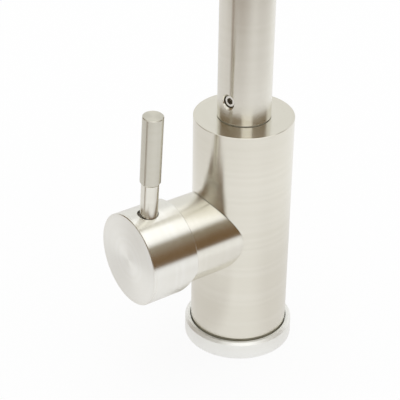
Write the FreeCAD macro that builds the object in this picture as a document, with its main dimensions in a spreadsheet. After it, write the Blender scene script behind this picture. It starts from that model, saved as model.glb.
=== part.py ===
import FreeCAD, Part
import math
import os
import re
import Sketcher

# A gooseneck bar faucet with one lever, in millimetres. +Z is up, the deck is the plane
# z = 0 and the faucet stands on it with its axis on Z. The valve and the lever knob lie
# along +X, and the gooseneck leans out toward -Y.

Vector = FreeCAD.Vector

SIZES = (
    # base ring and what seals it
    ("ring_bore", 17.2),
    ("ring_floor", 6.0),
    ("ring_reveal", 0.75),
    ("ring_lip", 2.5),
    ("ring_chamfer", 1.2),
    ("gasket_inner", 20.0),
    ("gasket_width", 5.0),
    ("gasket_thick", 1.8),
    ("gasket_proud", 0.3),
    ("seal_width", 1.3),
    # body
    ("body_radius", 24.0),
    ("body_length", 113.65),
    ("spigot_length", 3.95),
    ("spigot_step", 1.5),
    ("edge_break", 0.4),
    ("top_break", 0.15),
    ("cut_over", 1.0),
    ("lip_gap", 0.5),
    ("cavity_radius", 18.0),
    ("cavity_top", 36.0),
    ("hub_height", 66.2),
    # water ways
    ("inlet_radius", 4.5),
    ("inlet_depth", 12.0),
    ("inlet_back", 3.0),
    ("way_radius", 2.5),
    ("hot_side", 6.0),
    ("inlet_rise", 4.5),
    ("outlet_drop", 3.5),
    ("outlet_back", 6.0),
    # valve cartridge, from the pocket floor outward
    ("pocket_sink", 22.0),
    ("seal_squeeze", 0.2),
    ("port_seal_wire", 0.75),
    ("port_seal_ring", 3.3),
    ("cartridge_base_thick", 6.0),
    ("fixed_disc_thick", 3.5),
    ("disc_film", 0.05),
    ("moving_disc_thick", 3.5),
    ("moving_disc_radius", 10.5),
    ("mixing_width", 13.0),
    ("mixing_drop", 7.0),
    ("mixing_rise", 1.2),
    ("mixing_depth", 2.0),
    ("driver_thick", 8.75),
    ("slide_gap", 0.5),
    ("carriage_radius", 15.4),
    ("carriage_thick", 11.5),
    ("neck_radius", 12.9),
    ("neck_length", 5.0),
    ("turn_gap", 0.1),
    ("turn_clearance", 0.2),
    ("housing_wall", 1.8),
    ("housing_lip", 1.9),
    ("nut_thick", 5.0),
    ("nut_proud", 0.9),
    ("nut_thread", 1.4),
    ("nut_slot", 4.0),
    ("nut_slot_depth", 2.0),
    ("stub_wall", 1.2),
    ("saddle_gap", 0.2),
    # valve stem
    ("pivot_inset", 7.5),
    ("pin_radius", 1.5),
    ("pin_clearance", 0.05),
    ("pin_inset", 2.0),
    ("crank", 10.0),
    ("ball_radius", 3.0),
    ("ball_clearance", 0.3),
    ("stem_neck", 2.2),
    ("stem_side", 7.0),
    ("stem_shoulder", 6.0),
    ("stem_clearance", 0.1),
    ("slot_height", 17.0),
    # knob and lever
    ("lever_angle", 4.7),
    ("skirt_gap", 0.7),
    ("skirt_wall", 1.7),
    ("skirt_overlap", 1.0),
    ("knob_length", 24.4),
    ("knob_relief", 22.0),
    ("knob_wall", 3.0),
    ("knob_break", 0.35),
    ("boss_radius", 8.0),
    ("boss_length", 16.2),
    ("socket_floor", 1.0),
    ("stem_short", 1.2),
    ("lever_inset", 10.4),
    ("rod_radius", 4.2),
    ("rod_hole_gap", 0.85),
    ("rod_hole_shift", 0.75),
    ("rod_thread", 3.0),
    ("rod_step", 40.1),
    ("grip_radius", 4.9),
    ("grip_length", 35.5),
    ("grip_cap", 2.5),
    ("grip_break", 0.3),
    ("grip_shoulder", 1.0),
    ("key_screw_radius", 2.5),
    ("key_screw_key", 2.5),
    ("key_depth", 2.2),
    # gooseneck and its swivel
    ("tube_radius", 12.8),
    ("tube_wall", 1.2),
    ("riser_length", 161.0),
    ("arch_radius", 85.0),
    ("leg_length", 63.0),
    ("washer_thick", 0.3),
    ("washer_gap", 0.1),
    ("washer_inset", 0.4),
    ("washer_width", 1.1),
    ("socket_bore", 9.05),
    ("socket_length", 28.0),
    ("swivel_clearance", 0.05),
    ("connector_depth", 19.6),
    ("connector_seat", 2.0),
    ("connector_bore", 5.0),
    ("connector_short", 1.5),
    ("o_ring_wire", 0.85),
    ("o_ring_low", 18.5),
    ("o_ring_pitch", 4.5),
    ("o_ring_room", 2.4),
    ("swivel_groove", 7.2),
    ("swivel_groove_width", 6.8),
    ("set_screw_height", 11.3),
    ("set_screw_turn", 16.0),
    ("set_screw_radius", 3.0),
    ("set_screw_key", 3.0),
    ("set_screw_sunk", 1.5),
    # aerator
    ("outlet_length", 14.0),
    ("outlet_wall", 1.0),
    ("outlet_lip", 2.0),
    ("aerator_height", 7.0),
    ("aerator_thread", 9.0),
    ("aerator_wall", 1.55),
    ("aerator_lip", 0.9),
    ("aerator_groove", 0.5),
    ("aerator_groove_width", 1.5),
    ("screen_thick", 1.2),
    ("screen_hole", 1.0),
    ("screen_ring", 3.0),
    ("core_height", 10.0),
    ("core_hole", 1.45),
    ("core_ring", 5.4),
    # what clamps the faucet to the deck
    ("deck_thick", 20.0),
    ("stud_offset", 9.5),
    ("stud_radius", 4.0),
    ("stud_break", 0.8),
    ("stud_depth", 10.0),
    ("stud_hang", 60.0),
    ("thread_gap", 0.05),
    ("horseshoe_radius", 25.0),
    ("horseshoe_slot", 22.0),
    ("horseshoe_seat", 2.5),
    ("rubber_thick", 3.0),
    ("plate_thick", 2.5),
    ("clamp_nut_across", 13.0),
    ("clamp_nut_height", 12.0),
)

# What follows from the sizes above. Lengths named *_x are places along the valve's axis.
DERIVED = {
    "body_bottom": "ring_floor + spigot_length",
    "body_top": "body_bottom + body_length",
    "ring_top": "body_bottom - ring_reveal",
    "lip_inner": "body_radius + lip_gap",
    "ring_radius": "lip_inner + ring_lip",
    "spigot_radius": "body_radius - spigot_step",
    "floor_x": "body_radius - pocket_sink",
    "base_x": "floor_x + seal_squeeze",
    "fixed_x": "base_x + cartridge_base_thick",
    "moving_x": "fixed_x + fixed_disc_thick + disc_film",
    "driver_x": "moving_x + moving_disc_thick",
    "carriage_x": "driver_x + driver_thick + slide_gap",
    "neck_x": "carriage_x + carriage_thick",
    "lip_x": "neck_x + turn_gap",
    "nut_x": "lip_x + housing_lip",
    "stub_x": "nut_x + nut_thick - nut_proud",
    "pivot_x": "carriage_x + pivot_inset",
    "ball_x": "pivot_x - crank",
    "knob_x": "stub_x - skirt_overlap",
    "face_x": "knob_x + knob_length",
    "lever_x": "face_x - lever_inset",
    "boss_x": "face_x - boss_length",
    "socket_x": "face_x - knob_wall - socket_floor",
    "stem_x": "socket_x - stem_short",
    "housing_inner": "carriage_radius + turn_clearance",
    "housing_outer": "housing_inner + housing_wall",
    "pocket_radius": "housing_outer + turn_clearance",
    "mouth_radius": "pocket_radius + nut_thread",
    "nut_outer": "mouth_radius - turn_gap",
    "nut_inner": "lip_hole + slide_gap",
    "lip_hole": "neck_radius + turn_gap",
    "stub_radius": "mouth_radius + stub_wall",
    "skirt_inner": "stub_radius + skirt_gap",
    "knob_radius": "skirt_inner + skirt_wall",
    "rod_hole": "rod_radius + rod_hole_gap",
    "socket_half": "stem_side / 2 + stem_clearance",
    "grip_top": "rod_step + grip_length",
    "spout_foot": "body_top + washer_thick + washer_gap",
    "tube_inner": "tube_radius - tube_wall",
    "connector_radius": "socket_bore - swivel_clearance",
    "seat_bottom": "body_top - connector_depth",
    "swivel_mid": "body_top + set_screw_height",
    "screw_sunk_end": "tube_radius - set_screw_sunk",
    "screw_tip": "swivel_groove + turn_clearance",
    "outlet_inner": "tube_inner - outlet_wall",
    "aerator_outer": "outlet_inner - thread_gap",
    "aerator_bore": "aerator_outer - aerator_wall",
    "outlet_height": "spout_foot + riser_length - leg_length",
    "screen_bottom": "aerator_lip",
    "core_bottom": "screen_bottom + screen_thick",
    "aerator_top": "aerator_height + aerator_thread",
    "rubber_top": "-deck_thick",
    "plate_top": "rubber_top - rubber_thick",
    "clamp_top": "plate_top - plate_thick",
}

doc = FreeCAD.newDocument("BarFaucet")
sheet = doc.addObject("Spreadsheet::Sheet", "Sizes")
for row, (alias, value) in enumerate(SIZES, start=1):
    sheet.set("A%d" % row, alias)
    sheet.set("B%d" % row, str(value))
    sheet.setAlias("B%d" % row, alias)
doc.recompute()

CELLS = [alias for alias, value in SIZES]
subparts = []


def formula(text):
    """Write a formula of size names as a document expression."""

    def spell(found):
        word = found.group(0)
        if word in DERIVED:
            return "(" + formula(DERIVED[word]) + ")"
        if word in CELLS:
            return "Sizes." + word
        return word

    return re.sub(r"[a-z][a-z_]*", spell, text)


def number(text):
    """Work a formula out, for the first drawing of a sketch."""
    return float(sheet.evalExpression(formula(text)))


def placed(x="0", y="0", z="0", axis="0; 0; 1", turn="0"):
    """A placement expression: a turn about an axis, then a move."""
    spot = "vector(%s; %s; %s)" % (formula(x), formula(y), formula(z))
    return "placement(%s; rotation(vector(%s); %s))" % (spot, axis, formula(turn))


ON_HUB = placed(z="hub_height")
LEANED = placed(z="hub_height", axis="1; 0; 0", turn="-lever_angle")
LEVER = LEANED + " * " + placed(x="lever_x")


def new_body(label, place=None):
    """Start a sub-part that is built from sketches."""
    body = doc.addObject("PartDesign::Body", label)
    body.Label = label
    if place:
        body.setExpression("Placement", place)
    subparts.append(body)
    return body


def new_sketch(body, plane, place=None):
    """A sketch on one of the body's own origin planes."""
    sketch = body.newObject("Sketcher::SketchObject", body.Label + "_sketch")
    support = [item for item in body.Origin.OriginFeatures if item.Role == plane]
    sketch.AttachmentSupport = (support[0], [""])
    sketch.MapMode = "FlatFace"
    if place:
        sketch.setExpression("AttachmentOffset", place)
    return sketch


def fix_point(sketch, edge, point, corner):
    """Hold a point of an edge at the place that two formulas give."""
    for kind, text in zip(("DistanceX", "DistanceY"), corner):
        rule = Sketcher.Constraint(kind, -1, 1, edge, point, number(text))
        index = sketch.addConstraint(rule)
        sketch.setExpression("Constraints[%d]" % index, formula(text))


def draw_outline(sketch, corners):
    """A closed outline with straight sides through its corners."""
    first = sketch.GeometryCount
    count = len(corners)
    spots = [Vector(number(a), number(b), 0) for a, b in corners]
    for i in range(count):
        sketch.addGeometry(Part.LineSegment(spots[i], spots[(i + 1) % count]), False)
    for i in range(count):
        after = first + (i + 1) % count
        sketch.addConstraint(Sketcher.Constraint("Coincident", first + i, 2, after, 1))
    for i, corner in enumerate(corners):
        fix_point(sketch, first + i, 1, corner)


def draw_circle(sketch, x, y, radius):
    """A circle whose centre and radius are formulas."""
    centre = Vector(number(x), number(y), 0)
    edge = sketch.addGeometry(Part.Circle(centre, Vector(0, 0, 1), number(radius)), False)
    fix_point(sketch, edge, 3, (x, y))
    index = sketch.addConstraint(Sketcher.Constraint("Radius", edge, number(radius)))
    sketch.setExpression("Constraints[%d]" % index, formula(radius))


def hexagon(across, x="0", y="0"):
    """The corners of a hexagon from its width across the flats."""
    corners = []
    for angle in range(0, 360, 60):
        reach = "(%s) / sqrt(3)" % across
        corners.append(("%s + %s * cos(%d)" % (x, reach, angle),
                        "%s + %s * sin(%d)" % (y, reach, angle)))
    return corners


def box_corners(left, right, bottom, top):
    """The corners of a rectangle."""
    return [(left, bottom), (right, bottom), (right, top), (left, top)]


def turned(body, corners, axis="V_Axis", cut=False, place=None):
    """Turn an outline on the XZ plane about the sketch's own axis.

    V_Axis takes corners as (radius, height), H_Axis as (place along X, radius).
    """
    sketch = new_sketch(body, "XZ_Plane", place)
    draw_outline(sketch, corners)
    kind = "PartDesign::Groove" if cut else "PartDesign::Revolution"
    feature = body.newObject(kind, body.Label + "_turned")
    feature.Profile = sketch
    feature.ReferenceAxis = (sketch, [axis])
    feature.Angle = 360
    return feature


def extruded(body, plane, length, outlines=(), circles=(), cut=False, place=None,
             both=False):
    """Pad or pocket outlines and circles, along the plane's normal."""
    sketch = new_sketch(body, plane, place)
    for corners in outlines:
        draw_outline(sketch, corners)
    for x, y, radius in circles:
        draw_circle(sketch, x, y, radius)
    kind = "PartDesign::Pocket" if cut else "PartDesign::Pad"
    feature = body.newObject(kind, body.Label + ("_cut" if cut else "_pad"))
    feature.Profile = sketch
    feature.setExpression("Length", formula(length))
    feature.Midplane = both
    feature.Reversed = cut and not both
    return feature


def around(body, feature, count):
    """Repeat a feature round its sketch's normal."""
    pattern = body.newObject("PartDesign::PolarPattern", body.Label + "_pattern")
    pattern.Originals = [feature]
    pattern.Axis = (feature.Profile[0], ["N_Axis"])
    pattern.Angle = 360
    pattern.Occurrences = count
    body.Tip = pattern
    return pattern


def rings(label, wire, circles):
    """Rubber rings that share a node, each (major radius, x, y, z, lies along X)."""
    made = []
    for major, x, y, z, along_x in circles:
        ring = doc.addObject("Part::Torus", label + "_ring")
        ring.setExpression("Radius1", formula(major))
        ring.setExpression("Radius2", formula(wire))
        if along_x:
            ring.setExpression("Placement", placed(x, y, z, "0; 1; 0", "90"))
        else:
            ring.setExpression("Placement", placed(x, y, z))
        made.append(ring)
    group = doc.addObject("Part::Compound", label)
    group.Label = label
    group.Links = made
    subparts.append(group)
    return group


# The fixed pieces

def faucet_body():
    """The upright body with the cartridge's pocket and the water ways."""
    body = new_body("faucet_body")
    turned(body, [
        ("0", "cavity_top"),
        ("cavity_radius", "cavity_top"),
        ("cavity_radius", "ring_floor"),
        ("spigot_radius", "ring_floor"),
        ("spigot_radius", "body_bottom"),
        ("body_radius - edge_break", "body_bottom"),
        ("body_radius", "body_bottom + edge_break"),
        ("body_radius", "body_top - top_break"),
        ("body_radius - top_break", "body_top"),
        ("socket_bore", "body_top"),
        ("socket_bore", "seat_bottom"),
        ("0", "seat_bottom"),
    ])
    turned(body, box_corners("floor_x", "body_radius + cut_over", "0", "pocket_radius"),
           axis="H_Axis", cut=True, place=placed(y="hub_height"))
    sides = ("hot_side", "-hot_side")
    roof = placed(z="cavity_top")
    extruded(body, "XY_Plane", "inlet_depth", cut=True, place=roof,
             circles=[("-inlet_back", side, "inlet_radius") for side in sides])
    extruded(body, "XY_Plane", "hub_height + inlet_rise - cavity_top", cut=True, place=roof,
             circles=[("-inlet_back", side, "way_radius") for side in sides])
    extruded(body, "YZ_Plane", "floor_x + inlet_back", cut=True, place=placed(z="-inlet_back"),
             circles=[(side, "hub_height + inlet_rise", "way_radius") for side in sides])
    extruded(body, "YZ_Plane", "floor_x + outlet_back", cut=True, place=placed(z="-outlet_back"),
             circles=[("0", "hub_height - outlet_drop", "way_radius")])
    extruded(body, "XY_Plane", "seat_bottom - hub_height + outlet_drop", cut=True,
             place=placed(z="hub_height - outlet_drop"),
             circles=[("-outlet_back", "0", "way_radius")])
    extruded(body, "XY_Plane", "stud_depth", cut=True, place=roof,
             circles=[("stud_offset", "0", "stud_radius")])


def valve_stub():
    """The short tube brazed to the body's side, which holds the outer half of the valve."""
    body = new_body("valve_stub", ON_HUB)
    turned(body, [
        ("floor_x", "pocket_radius"),
        ("floor_x", "stub_radius"),
        ("stub_x - edge_break", "stub_radius"),
        ("stub_x", "stub_radius - edge_break"),
        ("stub_x", "mouth_radius"),
        ("nut_x - slide_gap", "mouth_radius"),
        ("nut_x - slide_gap", "pocket_radius"),
    ], axis="H_Axis")
    extruded(body, "XY_Plane", "2 * stub_radius + cut_over", cut=True, both=True,
             circles=[("0", "0", "body_radius + saddle_gap")])


def base_ring():
    """The ring that the body stands in, with a groove below for the deck gasket."""
    body = new_body("base_ring")
    turned(body, [
        ("ring_bore", "gasket_proud"),
        ("gasket_inner", "gasket_proud"),
        ("gasket_inner", "gasket_thick"),
        ("gasket_inner + gasket_width", "gasket_thick"),
        ("gasket_inner + gasket_width", "gasket_proud"),
        ("ring_radius", "gasket_proud"),
        ("ring_radius", "ring_top - ring_chamfer"),
        ("ring_radius - ring_chamfer", "ring_top"),
        ("lip_inner", "ring_top"),
        ("lip_inner", "ring_floor"),
        ("ring_bore", "ring_floor"),
    ])


def base_seal():
    """The black ring that fills the joint between the body and its base ring."""
    body = new_body("base_seal")
    turned(body, box_corners("spigot_radius", "spigot_radius + seal_width",
                             "ring_floor", "body_bottom"))


def deck_gasket():
    """The gasket that stands a little proud of the base ring and meets the deck."""
    body = new_body("deck_gasket")
    turned(body, box_corners("gasket_inner", "gasket_inner + gasket_width",
                             "0", "gasket_thick"))


def mounting_stud():
    """The threaded rod that hangs from the body through the deck."""
    body = new_body("mounting_stud", placed(x="stud_offset"))
    top = "cavity_top + stud_depth"
    radius = "stud_radius - thread_gap"
    turned(body, [
        ("0", "-stud_hang"),
        (radius + " - stud_break", "-stud_hang"),
        (radius, "-stud_hang + stud_break"),
        (radius, top + " - stud_break"),
        (radius + " - stud_break", top),
        ("0", top),
    ])


def horseshoe(label, top, thick):
    """A washer with a slot from its edge, so that it slips round hoses and stud."""
    body = new_body(label, placed(z="%s - %s" % (top, thick)))
    extruded(body, "XY_Plane", thick, circles=[
        ("0", "0", "horseshoe_radius"),
        ("stud_offset", "0", "stud_radius + slide_gap"),
    ])
    extruded(body, "XY_Plane", thick, cut=True, outlines=[
        box_corners("-horseshoe_radius - cut_over", "stud_offset - stud_radius - horseshoe_seat",
                    "-horseshoe_slot / 2", "horseshoe_slot / 2"),
    ])


def mounting_nut():
    """The long hexagon nut that pulls the washers up against the deck."""
    body = new_body("mounting_nut", placed(x="stud_offset", z="clamp_top - clamp_nut_height"))
    extruded(body, "XY_Plane", "clamp_nut_height", outlines=[hexagon("clamp_nut_across")],
             circles=[("0", "0", "stud_radius")])


def spout_connector():
    """The hollow spigot that the gooseneck turns on, with grooves for seals and screw."""
    body = new_body("spout_connector")
    top = "spout_foot + socket_length - connector_short"
    corners = [
        ("connector_bore", "seat_bottom + connector_seat"),
        ("connector_radius", "seat_bottom + connector_seat"),
        ("connector_radius", "swivel_mid - swivel_groove_width / 2"),
        ("swivel_groove", "swivel_mid - swivel_groove_width / 2"),
        ("swivel_groove", "swivel_mid + swivel_groove_width / 2"),
        ("connector_radius", "swivel_mid + swivel_groove_width / 2"),
    ]
    groove = "connector_radius - 2 * o_ring_wire"
    for level in ("o_ring_low", "o_ring_low + o_ring_pitch"):
        low = "body_top + %s - o_ring_room / 2" % level
        high = "body_top + %s + o_ring_room / 2" % level
        corners += [("connector_radius", low), (groove, low),
                    (groove, high), ("connector_radius", high)]
    corners += [
        ("connector_radius", top + " - edge_break"),
        ("connector_radius - edge_break", top),
        ("connector_bore", top),
    ]
    turned(body, corners)


def connector_o_rings():
    """Two rings that seal the connector inside the gooseneck's socket."""
    major = "connector_radius - o_ring_wire"
    levels = ("body_top + o_ring_low", "body_top + o_ring_low + o_ring_pitch")
    rings("connector_o_rings", "o_ring_wire",
          [(major, "0", "0", level, False) for level in levels])


def swivel_washer():
    """The thin white washer that the gooseneck slips round on."""
    body = new_body("swivel_washer")
    turned(body, box_corners("tube_radius - washer_inset - washer_width",
                             "tube_radius - washer_inset",
                             "body_top", "body_top + washer_thick"))


def ports(radius):
    """The two inlets and the outlet, as circles seen along the valve's axis."""
    return [("hot_side", "inlet_rise", radius), ("-hot_side", "inlet_rise", radius),
            ("0", "-outlet_drop", radius)]


def cartridge_base():
    """The plate with the three ports, which carries the port seals in its back."""
    body = new_body("cartridge_base", ON_HUB)
    start = placed(z="base_x")
    extruded(body, "YZ_Plane", "cartridge_base_thick", place=start,
             circles=[("0", "0", "housing_outer - turn_gap")])
    extruded(body, "YZ_Plane", "cartridge_base_thick", cut=True, place=start,
             circles=ports("way_radius"))
    extruded(body, "YZ_Plane", "2 * port_seal_wire - seal_squeeze", cut=True, place=start,
             circles=ports("port_seal_ring + port_seal_wire + thread_gap"))


def cartridge_seals():
    """The rings between the ports of the cartridge and of the body."""
    spots = []
    for y, z, radius in ports("way_radius"):
        spots.append(("port_seal_ring", "floor_x + port_seal_wire", y,
                      "hub_height + " + z, True))
    rings("cartridge_seals", "port_seal_wire", spots)


def fixed_disc():
    """The ceramic disc that stays still, with its three ports."""
    body = new_body("fixed_disc", ON_HUB)
    start = placed(z="fixed_x")
    extruded(body, "YZ_Plane", "fixed_disc_thick", place=start,
             circles=[("0", "0", "housing_inner - turn_gap")])
    extruded(body, "YZ_Plane", "fixed_disc_thick", cut=True, place=start,
             circles=ports("way_radius"))


def cartridge_housing():
    """The sleeve round the valve, with a lip that keeps the carriage in."""
    body = new_body("cartridge_housing", ON_HUB)
    turned(body, [
        ("fixed_x", "housing_inner"),
        ("fixed_x", "housing_outer"),
        ("nut_x", "housing_outer"),
        ("nut_x", "lip_hole"),
        ("lip_x", "lip_hole"),
        ("lip_x", "housing_inner"),
    ], axis="H_Axis")


def retaining_nut():
    """The slotted ring nut that holds the cartridge in its pocket."""
    body = new_body("retaining_nut", ON_HUB)
    turned(body, [
        ("nut_x", "nut_inner"),
        ("nut_x", "nut_outer"),
        ("nut_x + nut_thick - edge_break", "nut_outer"),
        ("nut_x + nut_thick", "nut_outer - edge_break"),
        ("nut_x + nut_thick", "nut_inner"),
    ], axis="H_Axis")
    slot = extruded(body, "YZ_Plane", "nut_slot_depth + cut_over", cut=True,
                    place=placed(z="nut_x + nut_thick - nut_slot_depth"),
                    outlines=[box_corners("-nut_slot / 2", "nut_slot / 2",
                                          "nut_inner - cut_over", "nut_outer + cut_over")])
    around(body, slot, 4)


# The pieces that turn for temperature

def stem_carriage():
    """The carriage that turns in the housing and holds the stem's pivot pin."""
    body = new_body("stem_carriage", LEANED)
    turned(body, [
        ("carriage_x", "0"),
        ("carriage_x", "carriage_radius"),
        ("neck_x", "carriage_radius"),
        ("neck_x", "neck_radius"),
        ("neck_x + neck_length", "neck_radius"),
        ("neck_x + neck_length", "0"),
    ], axis="H_Axis")
    extruded(body, "YZ_Plane", "carriage_thick + neck_length", cut=True,
             place=placed(z="carriage_x"),
             outlines=[box_corners("-socket_half", "socket_half",
                                   "-slot_height / 2", "slot_height / 2")])
    extruded(body, "XZ_Plane", "2 * carriage_radius + cut_over", cut=True, both=True,
             circles=[("pivot_x", "0", "pin_radius")])


def stem_pin():
    """The pin that the stem tilts on."""
    body = new_body("stem_pin", LEANED)
    extruded(body, "XZ_Plane", "2 * (carriage_radius - pin_inset)", both=True,
             circles=[("pivot_x", "0", "pin_radius")])


# The pieces that slide for flow

def moving_disc():
    """The ceramic disc whose hollow joins the inlets to the outlet when it slides up."""
    body = new_body("moving_disc", LEANED)
    start = placed(z="moving_x")
    extruded(body, "YZ_Plane", "moving_disc_thick", place=start,
             circles=[("0", "0", "moving_disc_radius")])
    extruded(body, "YZ_Plane", "mixing_depth", cut=True, place=start,
             outlines=[box_corners("-mixing_width / 2", "mixing_width / 2",
                                   "-mixing_drop", "mixing_rise")])


def disc_driver():
    """The block on the moving disc, with the socket that the stem's ball works in."""
    body = new_body("disc_driver", LEANED)
    extruded(body, "YZ_Plane", "driver_thick", place=placed(z="driver_x"),
             circles=[("0", "0", "moving_disc_radius - edge_break")])
    extruded(body, "YZ_Plane", "driver_thick", cut=True,
             place=placed(z="ball_x - ball_radius - ball_clearance"),
             circles=[("0", "0", "ball_radius + ball_clearance")])


# The handle

def valve_stem():
    """The stem: a ball and neck in the driver, and a square bar out to the knob."""
    body = new_body("valve_stem", LEANED)
    extruded(body, "YZ_Plane", "stem_x - pivot_x + stem_shoulder",
             place=placed(z="pivot_x - stem_shoulder"),
             outlines=[box_corners("-stem_side / 2", "stem_side / 2",
                                   "-stem_side / 2", "stem_side / 2")])
    sketch = new_sketch(body, "XZ_Plane")
    centre = Vector(number("ball_x"), 0, 0)
    radius = number("ball_radius")
    neck = number("stem_neck")
    meet = math.asin(neck / radius)
    neck_end = number("pivot_x - stem_shoulder + edge_break")
    ball = Part.Circle(centre, Vector(0, 0, 1), radius)
    sketch.addGeometry(Part.ArcOfCircle(ball, meet, math.pi), False)
    spots = [centre + Vector(-radius, 0, 0), Vector(neck_end, 0, 0), Vector(neck_end, neck, 0),
             centre + Vector(radius * math.cos(meet), neck, 0)]
    for start, end in zip(spots, spots[1:]):
        sketch.addGeometry(Part.LineSegment(start, end), False)
    for edge, after in ((0, 1), (1, 2), (2, 3)):
        sketch.addConstraint(Sketcher.Constraint("Coincident", edge, 2, after, 1))
    sketch.addConstraint(Sketcher.Constraint("Coincident", 3, 2, 0, 1))
    fix_point(sketch, 0, 3, ("ball_x", "0"))
    fix_point(sketch, 0, 2, ("ball_x - ball_radius", "0"))
    fix_point(sketch, 2, 1, ("pivot_x - stem_shoulder + edge_break", "0"))
    fix_point(sketch, 3, 1, ("pivot_x - stem_shoulder + edge_break", "stem_neck"))
    level = sketch.addConstraint(Sketcher.Constraint("DistanceY", -1, 1, 0, 1, neck))
    sketch.setExpression("Constraints[%d]" % level, formula("stem_neck"))
    ball_end = body.newObject("PartDesign::Revolution", "stem_ball")
    ball_end.Profile = sketch
    ball_end.ReferenceAxis = (sketch, ["H_Axis"])
    ball_end.Angle = 360
    extruded(body, "XZ_Plane", "stem_side + cut_over", cut=True, both=True,
             circles=[("pivot_x", "0", "pin_radius + pin_clearance")])


def handle_knob():
    """The round knob: a cup over the stub with a boss inside for stem and lever.

    The lever passes through its skin in a roomy hole, drilled a little to one side. The
    lower half of its rear edge is cut back, at the slope that the lever tilts to.
    """
    body = new_body("handle_knob", LEANED)
    turned(body, [
        ("knob_x", "skirt_inner"),
        ("knob_x", "knob_radius - knob_break"),
        ("knob_x + knob_break", "knob_radius"),
        ("face_x - knob_break", "knob_radius"),
        ("face_x", "knob_radius - knob_break"),
        ("face_x", "0"),
        ("boss_x", "0"),
        ("boss_x", "boss_radius"),
        ("face_x - knob_wall", "boss_radius"),
        ("face_x - knob_wall", "skirt_inner"),
    ], axis="H_Axis")
    extruded(body, "YZ_Plane", "socket_x - boss_x", cut=True, place=placed(z="boss_x"),
             outlines=[box_corners("-socket_half", "socket_half",
                                   "-socket_half", "socket_half")])
    extruded(body, "XY_Plane", "knob_radius", cut=True,
             circles=[("lever_x", "0", "rod_thread")])
    extruded(body, "XY_Plane", "knob_radius", cut=True, place=placed(z="boss_radius"),
             circles=[("lever_x", "-rod_hole_shift", "rod_hole")])
    below = placed(z="-knob_radius - cut_over")
    extruded(body, "XY_Plane", "knob_radius", cut=True, place=below,
             circles=[("lever_x", "0", "key_screw_radius")])
    extruded(body, "XZ_Plane", "2 * knob_radius + cut_over", cut=True, both=True, outlines=[[
        ("knob_x", "0"),
        ("knob_x - cut_over", "0"),
        ("knob_x - cut_over", "-knob_radius - cut_over"),
        ("knob_x + (knob_radius + cut_over) * tan(knob_relief)", "-knob_radius - cut_over"),
    ]])


def lever_rod():
    """The slim lower part of the lever, screwed into the boss and up into the grip."""
    body = new_body("lever_rod", LEVER)
    turned(body, [
        ("0", "socket_half + turn_gap"),
        ("rod_thread - thread_gap", "socket_half + turn_gap"),
        ("rod_thread - thread_gap", "boss_radius + thread_gap"),
        ("rod_radius", "boss_radius + thread_gap"),
        ("rod_radius", "rod_step"),
        ("rod_thread", "rod_step"),
        ("rod_thread", "grip_top - grip_cap"),
        ("0", "grip_top - grip_cap"),
    ])


def lever_grip():
    """The thicker upper part of the lever, closed at its tip."""
    body = new_body("lever_grip", LEVER)
    turned(body, [
        ("rod_thread", "rod_step"),
        ("rod_radius", "rod_step"),
        ("grip_radius", "rod_step + grip_shoulder"),
        ("grip_radius", "grip_top - grip_break"),
        ("grip_radius - grip_break", "grip_top"),
        ("0", "grip_top"),
        ("0", "grip_top - grip_cap"),
        ("rod_thread", "grip_top - grip_cap"),
    ])


def grub_screw(body, low, high, radius, key, depth):
    """A headless screw along the local Z axis with a hexagon socket in its upper end."""
    turned(body, [
        ("0", low),
        ("%s - edge_break" % radius, low),
        (radius, "%s + edge_break" % low),
        (radius, "%s - edge_break" % high),
        ("%s - edge_break" % radius, high),
        ("0", high),
    ])
    extruded(body, "XY_Plane", depth, cut=True, place=placed(z="%s - %s" % (high, depth)),
             outlines=[hexagon(key)])


def knob_set_screw():
    """The screw that clamps the knob's boss on the stem, from below."""
    body = new_body("knob_set_screw", LEVER + " * " + placed(axis="1; 0; 0", turn="180"))
    grub_screw(body, "stem_side / 2 + thread_gap", "boss_radius - edge_break",
               "key_screw_radius - thread_gap", "key_screw_key", "key_depth")


# The gooseneck

def spout_tube():
    """The bent tube: a riser, a half-round arch and a short leg down to the outlet."""
    body = new_body("spout_tube", placed(z="spout_foot"))
    path = new_sketch(body, "YZ_Plane")
    top = number("riser_length")
    bend = number("arch_radius")
    foot = top - number("leg_length")
    path.addGeometry(Part.LineSegment(Vector(0, 0, 0), Vector(0, top, 0)), False)
    circle = Part.Circle(Vector(-bend, top, 0), Vector(0, 0, 1), bend)
    path.addGeometry(Part.ArcOfCircle(circle, 0, math.pi), False)
    path.addGeometry(Part.LineSegment(Vector(-2 * bend, top, 0), Vector(-2 * bend, foot, 0)),
                     False)
    path.addConstraint(Sketcher.Constraint("Coincident", 0, 2, 1, 1))
    path.addConstraint(Sketcher.Constraint("Coincident", 1, 2, 2, 1))
    fix_point(path, 0, 1, ("0", "0"))
    fix_point(path, 0, 2, ("0", "riser_length"))
    fix_point(path, 2, 1, ("-2 * arch_radius", "riser_length"))
    fix_point(path, 2, 2, ("-2 * arch_radius", "riser_length - leg_length"))
    level = path.addConstraint(Sketcher.Constraint("DistanceY", -1, 1, 1, 3, top))
    path.setExpression("Constraints[%d]" % level, formula("riser_length"))
    section = new_sketch(body, "XY_Plane")
    draw_circle(section, "0", "0", "tube_radius")
    draw_circle(section, "0", "0", "tube_inner")
    sweep = body.newObject("PartDesign::AdditivePipe", "spout_sweep")
    sweep.Profile = section
    sweep.Spine = (path, ["Edge1", "Edge2", "Edge3"])
    screw_hole(body, "set_screw_radius + thread_gap")


def screw_hole(body, radius):
    """A hole into the foot of the gooseneck from the set screw's side."""
    place = placed(axis="0; 1; 0", turn="90 + set_screw_turn")
    level = "set_screw_height - washer_thick - washer_gap"
    extruded(body, "XZ_Plane", "tube_radius + cut_over", cut=True, place=place,
             circles=[("0", level, radius)])


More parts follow.
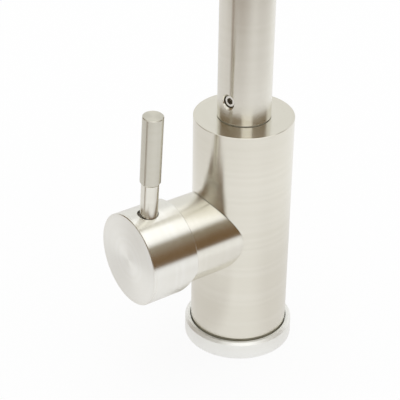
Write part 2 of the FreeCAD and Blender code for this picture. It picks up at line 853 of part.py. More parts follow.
def spout_socket():
    """The sleeve brazed inside the foot of the gooseneck, which turns on the connector."""
    body = new_body("spout_socket", placed(z="spout_foot"))
    turned(body, box_corners("socket_bore", "tube_inner", "0", "socket_length"))
    screw_hole(body, "set_screw_radius")


def spout_set_screw():
    """The screw in the foot of the gooseneck, whose tip runs in the connector's groove."""
    body = new_body("spout_set_screw",
                    placed(z="swivel_mid", axis="0; 0; 1", turn="set_screw_turn")
                    + " * " + placed(axis="0; 1; 0", turn="90"))
    grub_screw(body, "screw_tip", "screw_sunk_end", "set_screw_radius - thread_gap",
               "set_screw_key", "key_depth")


def outlet_place():
    """Where the gooseneck's mouth lies, as a placement expression."""
    return placed(y="-2 * arch_radius", z="outlet_height - aerator_height")


def outlet_collar():
    """The threaded collar brazed inside the gooseneck's mouth."""
    body = new_body("outlet_collar", outlet_place())
    end = "aerator_height + outlet_length"
    turned(body, [
        ("outlet_inner", "aerator_height"),
        ("tube_inner", "aerator_height"),
        ("tube_inner", end),
        ("aerator_bore", end),
        ("aerator_bore", end + " - outlet_lip"),
        ("outlet_inner", end + " - outlet_lip"),
    ])


def aerator_housing():
    """The aerator's casing: a thread above and a grooved ring flush with the tube."""
    body = new_body("aerator_housing", outlet_place())
    turned(body, [
        ("aerator_bore - aerator_lip", "0"),
        ("tube_radius - edge_break", "0"),
        ("tube_radius", "edge_break"),
        ("tube_radius", "aerator_height - aerator_groove_width"),
        ("tube_radius - aerator_groove", "aerator_height - aerator_groove_width"),
        ("tube_radius - aerator_groove", "aerator_height"),
        ("aerator_outer", "aerator_height"),
        ("aerator_outer", "aerator_top"),
        ("aerator_bore", "aerator_top"),
        ("aerator_bore", "aerator_lip"),
        ("aerator_bore - aerator_lip", "aerator_lip"),
    ])


def aerator_screen():
    """The plate with two rings of holes that the water leaves through."""
    body = new_body("aerator_screen", outlet_place())
    start = placed(z="screen_bottom")
    reach = "aerator_bore - thread_gap"
    extruded(body, "XY_Plane", "screen_thick", place=start, circles=[("0", "0", reach)])
    for middle, count in (("screen_ring", 6), ("2 * screen_ring", 12)):
        hole = extruded(body, "XY_Plane", "screen_thick", cut=True, place=start,
                        circles=[(middle, "0", "screen_hole")])
        around(body, hole, count)


def aerator_core():
    """The insert that breaks the stream up, with a ring of air ways."""
    body = new_body("aerator_core", outlet_place())
    start = placed(z="core_bottom")
    reach = "aerator_bore - thread_gap"
    extruded(body, "XY_Plane", "core_height", place=start, circles=[("0", "0", reach)])
    hole = extruded(body, "XY_Plane", "core_height", cut=True, place=start,
                    circles=[("core_ring", "0", "core_hole")])
    around(body, hole, 8)


def aerator_washer():
    """The flat washer between the aerator and the collar's lip."""
    body = new_body("aerator_washer", outlet_place())
    turned(body, box_corners("aerator_bore", "aerator_outer", "aerator_top",
                             "aerator_height + outlet_length - outlet_lip"))


faucet_body()
valve_stub()
base_ring()
base_seal()
deck_gasket()
mounting_stud()
horseshoe("deck_rubber_washer", "rubber_top", "rubber_thick")
horseshoe("deck_steel_washer", "plate_top", "plate_thick")
mounting_nut()
spout_connector()
connector_o_rings()
swivel_washer()
cartridge_base()
cartridge_seals()
fixed_disc()
cartridge_housing()
retaining_nut()
stem_carriage()
stem_pin()
moving_disc()
disc_driver()
valve_stem()
handle_knob()
lever_rod()
lever_grip()
knob_set_screw()
spout_tube()
spout_socket()
spout_set_screw()
outlet_collar()
aerator_housing()
aerator_screen()
aerator_core()
aerator_washer()
doc.recompute()


def check_document():
    """Stop if an object failed, a cut removed nothing or a sub-part isn't sound."""
    for item in doc.Objects:
        if "Invalid" in item.State or "Error" in item.State:
            raise ValueError("%s failed: %s" % (item.Name, item.State))
        if item.TypeId in ("PartDesign::Pocket", "PartDesign::Groove"):
            if item.Shape.Volume > item.BaseFeature.Shape.Volume - 0.001:
                raise ValueError(item.Name + " cuts nothing")
    for part in subparts:
        if part.Shape.isNull() or not part.Shape.isValid():
            raise ValueError(part.Label + " isn't a sound solid")


check_document()
os.makedirs("parts", exist_ok=True)
for part in subparts:
    part.Shape.exportStep("parts/%s.step" % part.Label)
    box = part.Shape.BoundBox
    print("%-20s %d solids %9.1f mm3  x %6.2f %6.2f  y %7.2f %6.2f  z %7.2f %7.2f" % (
        part.Label, len(part.Shape.Solids), part.Shape.Volume,
        box.XMin, box.XMax, box.YMin, box.YMax, box.ZMin, box.ZMax))
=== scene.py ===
import math

import bmesh
import bpy
from mathutils import Matrix, Vector


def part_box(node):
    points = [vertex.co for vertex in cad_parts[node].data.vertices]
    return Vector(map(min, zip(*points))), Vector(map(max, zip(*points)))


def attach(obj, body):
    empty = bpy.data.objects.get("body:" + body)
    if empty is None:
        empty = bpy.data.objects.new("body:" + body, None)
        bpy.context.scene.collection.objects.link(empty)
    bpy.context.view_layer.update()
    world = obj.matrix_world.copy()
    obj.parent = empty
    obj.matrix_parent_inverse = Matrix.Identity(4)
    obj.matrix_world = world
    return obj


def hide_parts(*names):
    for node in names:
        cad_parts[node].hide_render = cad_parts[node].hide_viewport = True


# A brushed gooseneck bar faucet on a white deck, in metres, in the part's own frame:
# +Z up, the deck at z = 0, the valve and lever knob along +X, the outlet toward -Y.

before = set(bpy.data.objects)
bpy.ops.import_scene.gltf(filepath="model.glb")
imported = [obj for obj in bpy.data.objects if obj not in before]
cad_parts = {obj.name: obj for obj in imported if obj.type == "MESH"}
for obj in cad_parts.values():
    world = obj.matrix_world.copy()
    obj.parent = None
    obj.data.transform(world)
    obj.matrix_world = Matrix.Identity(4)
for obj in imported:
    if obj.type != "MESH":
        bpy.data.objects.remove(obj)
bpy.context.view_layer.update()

MM = 0.001
UP = Vector((0, 0, 1))

# Places that the looks need, read from the model.
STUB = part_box("valve_stub")
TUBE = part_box("spout_tube")
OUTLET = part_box("aerator_housing")
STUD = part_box("mounting_stud")
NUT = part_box("mounting_nut")


def middle(box):
    """The centre of a box."""
    return (Vector(box[0]) + Vector(box[1])) / 2


def angles(count):
    """Equal steps of one turn."""
    return [2 * math.pi * step / count for step in range(count)]


def trip(centre, height, radius_at, count):
    """Points of one trip round an upright axis; the radius follows the angle."""
    return [(centre.x + radius_at(angle) * math.cos(angle),
             centre.y + radius_at(angle) * math.sin(angle), height)
            for angle in angles(count)]


HUB = Vector((0, 0, middle(STUB).z))
LEVER_LEAN = math.radians(4.7)
LEVER_X = middle(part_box("lever_rod")).x
TUBE_RADIUS = (TUBE[1][0] - TUBE[0][0]) / 2
ARCH_RADIUS = (TUBE[1][1] - TUBE[0][1]) / 2 - TUBE_RADIUS
ARCH_CENTRE = Vector((0, -ARCH_RADIUS, TUBE[1][2] - TUBE_RADIUS - ARCH_RADIUS))


# Camera: the photograph's place, direction and tilt

CAMERA_AT = Vector((0.34545, 0.44799, 0.41881))
CAMERA_FORWARD = Vector((-0.49779, -0.69548, -0.51818))
CAMERA_ROLL = math.radians(0.764)
CAMERA_LENS = 121.97
CAMERA_SENSOR = 36.0
CAMERA_NEAR = 0.01


def add_camera():
    """The camera at the photograph's viewing angle."""
    forward = CAMERA_FORWARD.normalized()
    level = forward.cross(UP).normalized()
    above = level.cross(forward)
    right = level * math.cos(CAMERA_ROLL) + above * math.sin(CAMERA_ROLL)
    up = above * math.cos(CAMERA_ROLL) - level * math.sin(CAMERA_ROLL)
    data = bpy.data.cameras.new("camera")
    data.lens = CAMERA_LENS
    data.sensor_width = CAMERA_SENSOR
    data.clip_start = CAMERA_NEAR
    camera = bpy.data.objects.new("camera", data)
    turn = Matrix((right, up, -forward)).transposed()
    camera.matrix_world = Matrix.Translation(CAMERA_AT) @ turn.to_4x4()
    bpy.context.scene.collection.objects.link(camera)
    bpy.context.scene.camera = camera


class Graph:
    """The node tree of a material or world, with short ways to add nodes and join them."""

    def __init__(self, owner):
        owner.use_nodes = True
        self.tree = owner.node_tree
        self.tree.nodes.clear()

    def put(self, socket, value):
        """Join a socket to another one, or set it to a value."""
        if isinstance(value, bpy.types.NodeSocket):
            self.tree.links.new(value, socket)
        else:
            socket.default_value = value

    def node(self, kind, settings=None, **inputs):
        """Add a node; inputs are named by their socket, with _ for a space."""
        made = self.tree.nodes.new(kind)
        for name, value in (settings or {}).items():
            setattr(made, name, value)
        for name, value in inputs.items():
            self.put(made.inputs[name.replace("_", " ")], value)
        return made

    def math(self, operation, *values):
        """Reckon with numbers."""
        made = self.node("ShaderNodeMath", {"operation": operation})
        for socket, value in zip(made.inputs, values):
            self.put(socket, value)
        return made.outputs[0]

    def vector(self, operation, *values):
        """Reckon with vectors; a product or a length comes out as a number."""
        made = self.node("ShaderNodeVectorMath", {"operation": operation})
        for socket, value in zip(made.inputs, values):
            self.put(socket, value)
        scalar = operation in ("DOT_PRODUCT", "LENGTH")
        return made.outputs["Value" if scalar else "Vector"]

    def scaled(self, vector, factor):
        """A vector times a number."""
        made = self.node("ShaderNodeVectorMath", {"operation": "SCALE"})
        self.put(made.inputs[0], vector)
        self.put(made.inputs["Scale"], factor)
        return made.outputs["Vector"]

    def split(self, vector):
        """The three parts of a vector."""
        made = self.node("ShaderNodeSeparateXYZ", Vector=vector)
        return made.outputs[0], made.outputs[1], made.outputs[2]

    def join(self, x, y, z):
        """A vector from its three parts."""
        return self.node("ShaderNodeCombineXYZ", X=x, Y=y, Z=z).outputs[0]

    def span(self, value, low, high, to_low=0.0, to_high=1.0, smooth=True):
        """Bring a value from one span to another, with soft ends."""
        kind = "SMOOTHSTEP" if smooth else "LINEAR"
        made = self.node("ShaderNodeMapRange", {"interpolation_type": kind}, Value=value)
        for name, number in (("From Min", low), ("From Max", high),
                             ("To Min", to_low), ("To Max", to_high)):
            self.put(made.inputs[name], number)
        return made.outputs["Result"]

    def mix(self, factor, first, second):
        """Mix two colours."""
        made = self.node("ShaderNodeMix", {"data_type": "RGBA"})
        self.put(made.inputs[0], factor)
        self.put(made.inputs[6], first)
        self.put(made.inputs[7], second)
        return made.outputs[2]

    def noise(self, vector, scale, detail, roughness=0.5):
        """Soft noise from 0 to 1."""
        made = self.node("ShaderNodeTexNoise", Vector=vector, Scale=scale, Detail=detail,
                         Roughness=roughness)
        return made.outputs["Fac"]

    def here(self):
        """The place on the piece, in the part's frame."""
        return self.node("ShaderNodeTexCoord").outputs["Object"]

    def surface(self, shader, kind="ShaderNodeOutputMaterial"):
        """Join a shader to the output."""
        self.put(self.node(kind).inputs[0], shader.outputs[0])


def rgb(red, green, blue):
    """An opaque colour."""
    return (red, green, blue, 1.0)


# Studio: a white deck under a high softbox, in a brown room that the metal mirrors

ROOM_TOWARD = math.radians(45)
ROOM_EDGE = (math.cos(math.radians(126)), math.cos(math.radians(110)))
BOX_EDGE = math.radians(43)
BOX_BLUR = math.radians(3.5)
BOX_DROP = math.radians(24)
BOX_DROP_TOWARD = math.radians(66)
BOX_DROP_EDGE = (math.cos(math.radians(32)), math.cos(math.radians(6)))
BOX_LIFT = math.radians(3)
BOX_LIFT_TOWARD = math.radians(-35)
BOX_LIFT_EDGE = (math.cos(math.radians(75)), math.cos(math.radians(35)))
BACK_SPAN = (math.radians(36), math.radians(54))
WALL_SPAN = (math.radians(16), math.radians(36))
ROOM_LOW = (0.180, 0.109, 0.050, 1.0)
ROOM_HIGH = (0.235, 0.190, 0.118, 1.0)
SOFTBOX = (1.32, 1.32, 1.30, 1.0)
BACKDROP = (0.87, 0.87, 0.85, 1.0)
WHITE = (1.0, 1.0, 1.0, 1.0)
LEAST_LENGTH = 0.0001


def along(g, x, y, toward):
    """How far a place or a direction reaches in a compass direction."""
    return g.math("ADD", g.math("MULTIPLY", x, math.cos(toward)),
                  g.math("MULTIPLY", y, math.sin(toward)))


def level_length(g, x, y):
    """The level part of a place's distance or a direction's length."""
    return g.math("SQRT", g.math("ADD", g.math("MULTIPLY", x, x), g.math("MULTIPLY", y, y)))


def bearing(g, x, y, toward):
    """How well a place or a direction agrees with a compass direction, from -1 to 1."""
    length = g.math("MAXIMUM", level_length(g, x, y), LEAST_LENGTH)
    return g.math("DIVIDE", along(g, x, y, toward), length)


def add_world():
    """White to the camera; to the metal, a softbox above and the room on one side."""
    world = bpy.data.worlds.new("studio")
    bpy.context.scene.world = world
    g = Graph(world)
    toward = g.node("ShaderNodeTexCoord").outputs["Generated"]
    x, y, z = g.split(toward)
    rise = g.math("ARCSINE", z)
    dropped = g.span(bearing(g, x, y, BOX_DROP_TOWARD), *BOX_DROP_EDGE)
    lifted = g.span(bearing(g, x, y, BOX_LIFT_TOWARD), *BOX_LIFT_EDGE)
    edge = g.math("SUBTRACT", g.math("ADD", BOX_EDGE, g.math("MULTIPLY", lifted, BOX_LIFT)),
                  g.math("MULTIPLY", dropped, BOX_DROP))
    above = g.math("SUBTRACT", rise, edge)
    box = g.span(above, -BOX_BLUR, BOX_BLUR)
    wall = g.mix(g.span(rise, *WALL_SPAN), ROOM_LOW, ROOM_HIGH)
    room = g.mix(box, wall, SOFTBOX)
    behind = g.mix(g.span(rise, *BACK_SPAN), BACKDROP, SOFTBOX)
    side = g.span(bearing(g, x, y, ROOM_TOWARD), *ROOM_EDGE)
    tent = g.mix(side, behind, room)
    path = g.node("ShaderNodeLightPath")
    bent = g.math("MAXIMUM", path.outputs["Is Glossy Ray"], path.outputs["Is Transmission Ray"])
    shown = g.mix(bent, WHITE, tent)
    back = g.node("ShaderNodeBackground", Color=shown)
    g.surface(back, "ShaderNodeOutputWorld")


LAMP_SIZE = 1.2
LAMP_ENERGY = 3.0
LAMP_AT = (-0.3, -0.2, 1.6)


def add_lamp():
    """A broad soft lamp overhead, a little behind the faucet."""
    data = bpy.data.lights.new("overhead", "AREA")
    data.shape = "DISK"
    data.size = LAMP_SIZE
    data.energy = LAMP_ENERGY
    lamp = bpy.data.objects.new("overhead", data)
    lamp.matrix_world = Matrix.Translation(LAMP_AT)
    lamp.visible_glossy = False
    bpy.context.scene.collection.objects.link(lamp)


DECK_RADII = (17.0 * MM, 0.2, 4.0)
DECK_GAP = 0.05 * MM
DECK_STEPS = 96
DECK_WHITE = (0.88, 0.88, 0.88, 1.0)
DECK_GLOW = 0.88
MIRRORED_GLOW = 0.78
# The room's sheets past the deck's sides; the last, weak one toward -60 degrees is painted shade
# near the faucet.
ROOM_AND_SHADE_SIDES = ((math.radians(30), 0.33, 0.54, 1.0), (math.radians(120), 0.20, 1.15, 1.0),
               (math.radians(-60), 0.08, 0.24, 0.20))
FLAG_TOWARD = math.radians(-7)
FLAG_SHIFT = 0.008
FLAG_START = (0.13, 0.21)
FLAG_HALF_WIDTH = (0.012, 0.050)
FLAG_DEPTH = 0.72
# Painted shade on the deck round the faucet's base, weakest on its lit side.
LIT_TOWARD = math.radians(38)
SHADE_SIDES = (math.cos(math.radians(25)), math.cos(math.radians(78)))
SHADE_END = (0.08, 0.18)
SHADE_DEPTH = 0.18
LEAST_SHADE = 0.2
# Painted shadow on the deck on one side of the faucet's foot.
FOOT_SHADE_TOWARD = math.radians(-30)
FOOT_SHADE_START = (0.015, 0.045)
FOOT_SHADE_END = (0.06, 0.13)
FOOT_SHADE_DEPTH = 0.24


def deck_darkness(g):
    """Painted darkness on the deck that only the metal's reflections see: the room past its
    sides and on one flag, and painted shadow round the faucet's base and near its foot."""
    x, y, z = g.split(g.here())
    off = g.math("SUBTRACT", along(g, x, y, FLAG_TOWARD + math.pi / 2), FLAG_SHIFT)
    off = g.math("ABSOLUTE", off)
    flag = g.math("MULTIPLY", g.span(off, *FLAG_HALF_WIDTH, FLAG_DEPTH, 0.0),
                  g.span(along(g, x, y, FLAG_TOWARD), *FLAG_START))
    reach = level_length(g, x, y)
    turned = g.span(bearing(g, x, y, LIT_TOWARD), *SHADE_SIDES, LEAST_SHADE)
    shade = g.math("MULTIPLY", turned, g.span(reach, *SHADE_END, SHADE_DEPTH, 0.0))
    foot_shade = g.math("MULTIPLY", g.span(along(g, x, y, FOOT_SHADE_TOWARD), *FOOT_SHADE_START),
                  g.span(reach, *FOOT_SHADE_END, FOOT_SHADE_DEPTH, 0.0))
    dark = g.math("MAXIMUM", flag, g.math("MAXIMUM", shade, foot_shade))
    for toward, near, far, depth in ROOM_AND_SHADE_SIDES:
        side = g.span(along(g, x, y, toward), near, far, 0.0, depth)
        dark = g.math("MAXIMUM", dark, side)
    return dark


def add_deck():
    """The white deck, with the hole that the faucet's stud and hoses go through."""
    build = bmesh.new()
    centre = Vector()
    rounds = [[build.verts.new(point) for point in
               trip(centre, -DECK_GAP, lambda angle: radius, DECK_STEPS)]
              for radius in DECK_RADII]
    for inner, outer in zip(rounds, rounds[1:]):
        for i in range(DECK_STEPS):
            after = (i + 1) % DECK_STEPS
            build.faces.new((inner[i], outer[i], outer[after], inner[after]))
    mesh = bpy.data.meshes.new("deck")
    build.to_mesh(mesh)
    build.free()
    deck = bpy.data.objects.new("deck", mesh)
    bpy.context.scene.collection.objects.link(deck)
    material = bpy.data.materials.new("deck_white")
    g = Graph(material)
    path = g.node("ShaderNodeLightPath")
    glossy = path.outputs["Is Glossy Ray"]
    # Glossy rays see the painted shadow and the room on the deck, mixed toward the room's brown.
    dark = g.math("MULTIPLY", deck_darkness(g), glossy)
    white = g.node("ShaderNodeBsdfDiffuse", Color=g.mix(dark, DECK_WHITE, ROOM_LOW))
    glow = g.node("ShaderNodeEmission", Color=g.mix(dark, WHITE, ROOM_LOW))
    seen = g.math("MULTIPLY", path.outputs["Is Camera Ray"], DECK_GLOW)
    mirrored = g.math("MULTIPLY", glossy, MIRRORED_GLOW)
    mixed = g.node("ShaderNodeMixShader", Fac=g.math("MAXIMUM", seen, mirrored))
    g.put(mixed.inputs[1], white.outputs[0])
    g.put(mixed.inputs[2], glow.outputs[0])
    g.surface(mixed)
    mesh.materials.append(material)


# Materials

GROOVES_PER_METRE = 2600.0
DRIFT_PER_METRE = 45.0
DRIFT_SKEW = 0.7
GROOVE_NOISE = (1.0, 3.0, 0.6)
GROOVE_BLUR = (0.25, 0.75, -0.008, 0.008)
GROOVE_HEIGHT = 0.02 * MM
GROOVE_STRENGTH = 0.05
BAND_NOISE = (0.12, 2.0)
BAND_DARK = (0.985, 0.983, 0.975)
BAND_LIGHT = (1.015, 1.015, 1.02)
BLOTCH_DETAIL = 3.0
BLOTCH_NOISE = (60.0, BLOTCH_DETAIL)
BLOTCH_BLUR = (0.3, 0.7, -0.010, 0.010)
NOISE_SPAN = (0.3, 0.7)
GRAIN_DETAIL = 4.0
GRAIN_BLUR = (0.3, 0.7, -0.06, 0.06)
GRAIN_HEIGHT = 0.05 * MM
GRAINS_PER_BLOTCH = 12
GRAIN_DARK = (0.9, 0.9, 0.9)
GRAIN_LIGHT = (1.06, 1.06, 1.06)


def shaded(colour, factors):
    """A colour made darker or lighter, each channel by its own factor."""
    return rgb(*(min(part * factor, 1) for part, factor in zip(colour, factors)))


def from_axis(g, centre, axis):
    """A place's height along an axis, and the way out to it from the axis."""
    offset = g.vector("SUBTRACT", g.here(), tuple(centre))
    height = g.vector("DOT_PRODUCT", offset, tuple(axis))
    return height, g.vector("SUBTRACT", offset, g.scaled(tuple(axis), height))


def turned_frame(g, centre, axis):
    """Where a place lies across and along the lathe marks about an axis, the way across
    them, and how far the surface faces along the axis."""
    height, outward = from_axis(g, centre, axis)
    normal = g.node("ShaderNodeNewGeometry").outputs["Normal"]
    facing = g.math("ABSOLUTE", g.vector("DOT_PRODUCT", local(g, normal), tuple(axis)))
    fast = g.math("ADD", height, g.vector("LENGTH", outward))
    axial = g.scaled(tuple(axis), g.math("SUBTRACT", 1.0, facing))
    radial = g.scaled(g.vector("NORMALIZE", outward), facing)
    return fast, outward, g.vector("ADD", axial, radial), facing


def local(g, normal):
    """A normal in the piece's own space."""
    settings = {"vector_type": "NORMAL", "convert_from": "WORLD", "convert_to": "OBJECT"}
    return g.node("ShaderNodeVectorTransform", settings, Vector=normal).outputs[0]


def in_world(g, direction):
    """A direction of the piece's own space, in the world."""
    settings = {"vector_type": "VECTOR", "convert_from": "OBJECT", "convert_to": "WORLD"}
    return g.node("ShaderNodeVectorTransform", settings, Vector=direction).outputs[0]


def bent_frame(g):
    """The same for the gooseneck, whose marks run round the tube along its bend."""
    x, y, z = g.split(g.vector("SUBTRACT", g.here(), tuple(ARCH_CENTRE)))
    in_arch = g.math("GREATER_THAN", z, 0.0)
    on_leg = g.math("LESS_THAN", y, 0.0)
    turn = g.math("ARCTAN2", z, y)
    arch = g.math("MULTIPLY", turn, ARCH_RADIUS)
    leg = g.math("SUBTRACT", math.pi * ARCH_RADIUS, z)
    straight = g.math("ADD", g.math("MULTIPLY", leg, on_leg),
                      g.math("MULTIPLY", z, g.math("SUBTRACT", 1.0, on_leg)))
    out_of_arch = g.math("SUBTRACT", 1.0, in_arch)
    fast = g.math("ADD", g.math("MULTIPLY", arch, in_arch),
                  g.math("MULTIPLY", straight, out_of_arch))
    bend = g.join(0.0, g.math("MULTIPLY", z, -1.0), y)
    across = g.vector("ADD", g.scaled(g.vector("NORMALIZE", bend), in_arch),
                      g.scaled((0, 0, 1), out_of_arch))
    return fast, g.join(x, 0.0, 0.0), across, 0.0


def brushed(name, placing, colour=(0.79, 0.77, 0.70), roughness=0.24, anisotropy=0.87,
            metallic=1.0, coarser=0.0):
    """Brushed metal whose marks run round the piece. Its end faces are coarser or finer."""
    material = bpy.data.materials.new(name)
    g = Graph(material)
    fast, slow, across, facing = placing(g)
    x, y, z = g.split(g.scaled(slow, DRIFT_PER_METRE))
    grooves = g.join(g.math("MULTIPLY", fast, GROOVES_PER_METRE), g.math("ADD", x, z),
                     g.math("ADD", y, g.math("MULTIPLY", z, DRIFT_SKEW)))
    fine = g.noise(grooves, *GROOVE_NOISE)
    bands = g.noise(grooves, *BAND_NOISE)
    blotch = g.noise(g.here(), *BLOTCH_NOISE)
    level = g.math("ADD", g.span(fine, *GROOVE_BLUR, smooth=False),
                   g.span(blotch, *BLOTCH_BLUR, smooth=False))
    level = g.math("ADD", level, g.math("MULTIPLY", facing, coarser))
    tone = g.mix(g.span(bands, *NOISE_SPAN), shaded(colour, BAND_DARK),
                 shaded(colour, BAND_LIGHT))
    bump = g.node("ShaderNodeBump", Height=fine, Strength=GROOVE_STRENGTH,
                  Distance=GROOVE_HEIGHT)
    g.surface(g.node("ShaderNodeBsdfPrincipled", Base_Color=tone, Metallic=metallic,
                     Roughness=g.math("ADD", level, roughness), Anisotropic=anisotropy,
                     Normal=bump.outputs[0], Tangent=in_world(g, across)))
    return material


def plain(name, colour, metallic=0.0, roughness=0.5, grain=300.0, depth=0.1):
    """A cast, moulded or plated surface with a fine grain."""
    material = bpy.data.materials.new(name)
    g = Graph(material)
    fine = g.noise(g.here(), grain, GRAIN_DETAIL)
    blotch = g.noise(g.here(), grain / GRAINS_PER_BLOTCH, BLOTCH_DETAIL)
    tone = g.mix(g.span(blotch, *NOISE_SPAN), shaded(colour, GRAIN_DARK),
                 shaded(colour, GRAIN_LIGHT))
    rough = g.math("ADD", roughness, g.span(fine, *GRAIN_BLUR, smooth=False))
    bump = g.node("ShaderNodeBump", Height=fine, Strength=depth, Distance=GRAIN_HEIGHT)
    g.surface(g.node("ShaderNodeBsdfPrincipled", Base_Color=tone, Metallic=metallic,
                     Roughness=rough, Normal=bump.outputs[0]))
    return material


KEY_EDGE = 0.15 * MM
SCREW_NOISE = (900.0, 3.0)
# Painted shade: the darker colour painted into the hexagon socket's recess.
SOCKET_PAINTED_SHADE = (0.42, 0.40, 0.34, 1.0)
SOCKET_ROUGHNESS = 0.3


def socket_screw(name, colour, centre, axis, key, roughness=0.24):
    """A bright screw whose hexagon socket is painted dark, as shade in the recess."""
    material = bpy.data.materials.new(name)
    g = Graph(material)
    height, outward = from_axis(g, centre, axis)
    # The hexagon socket, where painted shade goes, found by its distance from the screw's axis.
    inside = g.span(g.vector("LENGTH", outward), key + KEY_EDGE, key, smooth=False)
    fine = g.noise(g.here(), *SCREW_NOISE)
    tone = g.mix(g.span(fine, *NOISE_SPAN), shaded(colour, GRAIN_DARK), rgb(*colour))
    rough = g.math("ADD", roughness, g.math("MULTIPLY", inside, SOCKET_ROUGHNESS))
    g.surface(g.node("ShaderNodeBsdfPrincipled", Base_Color=g.mix(inside, tone, SOCKET_PAINTED_SHADE),
                     Metallic=1.0, Roughness=rough))
    return material


def turned_about(centre, axis):
    """A placing function for a piece that is turned about an axis."""
    return lambda g: turned_frame(g, centre, axis)


ACROSS = Vector((1, 0, 0))
LEVER = Vector((0, math.sin(LEVER_LEAN), math.cos(LEVER_LEAN)))
OUTLET_AXIS = middle(OUTLET)
SCREW = middle(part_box("spout_set_screw"))
SCREW_AXIS = Vector((SCREW.x, SCREW.y, 0)).normalized()
KEY_HALF = 1.5 * MM

MATERIALS = {
    "upright": brushed("brushed_upright", turned_about(Vector(), UP), (0.775, 0.75, 0.67),
                       0.20, 0.82, coarser=-0.02),
    "knob": brushed("brushed_knob", turned_about(HUB, ACROSS), (0.85, 0.84, 0.795),
                    coarser=0.06),
    "ring": brushed("brushed_ring", turned_about(Vector(), UP), (0.90, 0.90, 0.87), 0.34, 0.5,
                    metallic=0.6),
    "valve": brushed("brushed_valve", turned_about(HUB, ACROSS), (0.82, 0.80, 0.73)),
    "rod": brushed("brushed_rod", turned_about(Vector((LEVER_X, 0, HUB.z)), LEVER),
                   (0.80, 0.78, 0.71), 0.20, 0.75),
    "grip": brushed("brushed_grip", turned_about(Vector((LEVER_X, 0, HUB.z)), LEVER),
                    (0.66, 0.64, 0.565), 0.26, 0.85, coarser=0.06),
    "gooseneck": brushed("brushed_gooseneck", bent_frame),
    "outlet": brushed("brushed_outlet", turned_about(OUTLET_AXIS, UP)),
    "zinc": plain("zinc_plate", (0.60, 0.61, 0.62), 1.0, 0.38, 500.0),
    "steel": plain("bright_steel", (0.86, 0.84, 0.79), 1.0, 0.24, 700.0),
    "screw": socket_screw("set_screw", (0.86, 0.84, 0.79), SCREW, SCREW_AXIS, KEY_HALF),
    "brass": plain("cast_brass", (0.72, 0.53, 0.26), 1.0, 0.35, 400.0),
    "seal": plain("olive_seal", (0.25, 0.23, 0.165), 0.0, 0.45, 900.0, 0.2),
    "rubber": plain("black_rubber", (0.02, 0.02, 0.02), 0.0, 0.6, 900.0, 0.2),
    "nickel": plain("dull_nickel", (0.26, 0.25, 0.22), 1.0, 0.30, 500.0),
    "nylon": plain("olive_nylon", (0.42, 0.40, 0.33), 0.0, 0.4, 600.0),
    "plastic": plain("grey_plastic", (0.55, 0.56, 0.55), 0.0, 0.45, 600.0),
    "ceramic": plain("lapped_ceramic", (0.85, 0.84, 0.80), 0.0, 0.15, 900.0, 0.02),
}

FINISH = {
    "upright": "faucet_body",
    "ring": "base_ring",
    "knob": "handle_knob",
    "valve": "valve_stub",
    "rod": "lever_rod",
    "grip": "lever_grip",
    "gooseneck": "spout_tube",
    "outlet": "aerator_housing",
    "zinc": "deck_steel_washer mounting_stud",
    "screw": "spout_set_screw",
    "steel": "knob_set_screw valve_stem stem_pin aerator_screen",
    "brass": "spout_connector retaining_nut outlet_collar mounting_nut",
    "nickel": "spout_socket",
    "seal": "base_seal",
    "rubber": "deck_gasket deck_rubber_washer connector_o_rings "
              "cartridge_seals aerator_washer",
    "nylon": "swivel_washer",
    "plastic": "cartridge_base cartridge_housing stem_carriage disc_driver aerator_core",
    "ceramic": "fixed_disc moving_disc",
}


def finish_nodes():
    """Give each piece of the model its material."""
    for key, names in FINISH.items():
        for name in names.split():
            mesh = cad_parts[name].data
            mesh.materials.clear()
            mesh.materials.append(MATERIALS[key])


# The threaded stud and the clamp nut, finer than their plain solids

THREAD_PITCH = 1.25 * MM
THREAD_DEPTH = 0.62 * MM
THREAD_SLOPE = 2.4
THREAD_CREST = 0.2
THREAD_STEPS = 6
STUD_RADIUS = (STUD[1][0] - STUD[0][0]) / 2
STUD_END_DROP = 0.3 * MM
STUD_STEPS = 36
NUT_CLEARANCE = 0.05 * MM
NUT_CHAMFER = 0.5 * MM
NUT_FACE = 0.96
NUT_TURNING = 0.2 * MM
NUT_LEVELS = 7
NUT_STEPS = 72


def lathe(name, rows, ring=False):
    """A mesh through rows of points: closed at its ends, or into a ring."""
    build = bmesh.new()
    made = [[build.verts.new(point) for point in row] for row in rows]
    bands = list(zip(made, made[1:]))
    if ring:
        bands.append((made[-1], made[0]))
    else:
        build.faces.new(made[0])
        build.faces.new(made[-1])
    for lower, upper in bands:
        for i in range(len(lower)):
            after = (i + 1) % len(lower)
            build.faces.new((lower[i], lower[after], upper[after], upper[i]))
    bmesh.ops.recalc_face_normals(build, faces=build.faces)
    mesh = bpy.data.meshes.new(name)
    build.to_mesh(mesh)
    build.free()
    piece = bpy.data.objects.new(name, mesh)
    bpy.context.scene.collection.objects.link(piece)
    return piece


def thread_radius(height, angle, outer):
    """The radius of a screw thread at a height and an angle."""
    turn = (height / THREAD_PITCH - angle / (2 * math.pi)) % 1.0
    slope = abs(turn - 0.5) * THREAD_SLOPE - THREAD_CREST
    return outer - THREAD_DEPTH * min(1.0, max(0.0, slope))


def add_stud():
    """The mounting stud with its thread and a cone at each end."""
    low, high = STUD[0][2], STUD[1][2]
    core = STUD_RADIUS - THREAD_DEPTH - STUD_END_DROP
    steps = round((high - low) / THREAD_PITCH * THREAD_STEPS)
    rows = []
    for step in range(steps + 1):
        z = low + (high - low) * step / steps
        cone = core + min(z - low, high - z)
        rows.append(trip(middle(STUD), z,
                         lambda angle: min(thread_radius(z, angle, STUD_RADIUS), cone),
                         STUD_STEPS))
    stud = lathe("threaded_stud", rows)
    stud.data.materials.append(MATERIALS["zinc"])
    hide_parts("mounting_stud")
    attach(stud, "base")


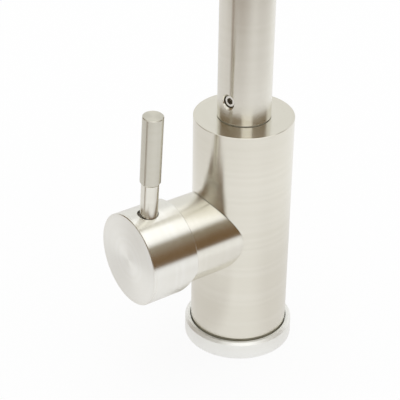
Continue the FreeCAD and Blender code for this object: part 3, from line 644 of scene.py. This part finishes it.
def add_nut():
    """The clamp nut: a hexagon with turned corners and a bore with broken edges."""
    low, high = NUT[0][2], NUT[1][2]
    flat = (NUT[1][1] - NUT[0][1]) / 2
    bore = STUD_RADIUS + NUT_CLEARANCE
    heights = [low + NUT_TURNING * step for step in range(NUT_LEVELS)]
    heights += [low + high - height for height in reversed(heights)]

    def hexagon(angle):
        return flat / math.cos(angle % (math.pi / 3) - math.pi / 6)

    def outside(height):
        turned = flat * NUT_FACE + min(height - low, high - height) * math.sqrt(3)
        return trip(middle(NUT), height, lambda angle: min(turned, hexagon(angle)), NUT_STEPS)

    def inside(height, radius):
        return trip(middle(NUT), height, lambda angle: radius, NUT_STEPS)

    rows = [inside(low + NUT_CHAMFER, bore), inside(low, bore + NUT_CHAMFER)]
    rows += [outside(height) for height in heights]
    rows += [inside(high, bore + NUT_CHAMFER), inside(high - NUT_CHAMFER, bore)]
    nut = lathe("clamp_nut", rows, ring=True)
    nut.data.materials.append(MATERIALS["brass"])
    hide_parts("mounting_nut")
    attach(nut, "base")


# The set screw's hole, whose edge is countersunk

HOLE_RADIUS = 3.0 * MM
SINK_DEPTH = 0.9 * MM
SINK_INSIDE = 0.5 * MM
SINK_OUTSIDE = 2.0 * MM
SINK_STEPS = 72


def countersink_hole():
    """Cut a cone out of the gooseneck round the set screw's hole."""
    sideways = UP.cross(SCREW_AXIS)
    start = TUBE_RADIUS - SINK_DEPTH
    rows = []
    for more in (-SINK_INSIDE, SINK_DEPTH + SINK_OUTSIDE):
        centre = SCREW_AXIS * (start + more) + UP * SCREW.z
        radius = HOLE_RADIUS + more
        rows.append([centre + sideways * radius * math.cos(angle) + UP * radius * math.sin(angle)
                     for angle in angles(SINK_STEPS)])
    cone = lathe("countersink_cone", rows)
    cone.hide_render = True
    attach(cone, "gooseneck")
    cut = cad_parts["spout_tube"].modifiers.new("countersink", "BOOLEAN")
    cut.operation = "DIFFERENCE"
    cut.solver = "EXACT"
    cut.object = cone


scene = bpy.context.scene
scene.view_settings.view_transform = "Standard"
add_camera()
add_world()
add_lamp()
add_deck()
finish_nodes()
add_stud()
add_nut()
countersink_hole()
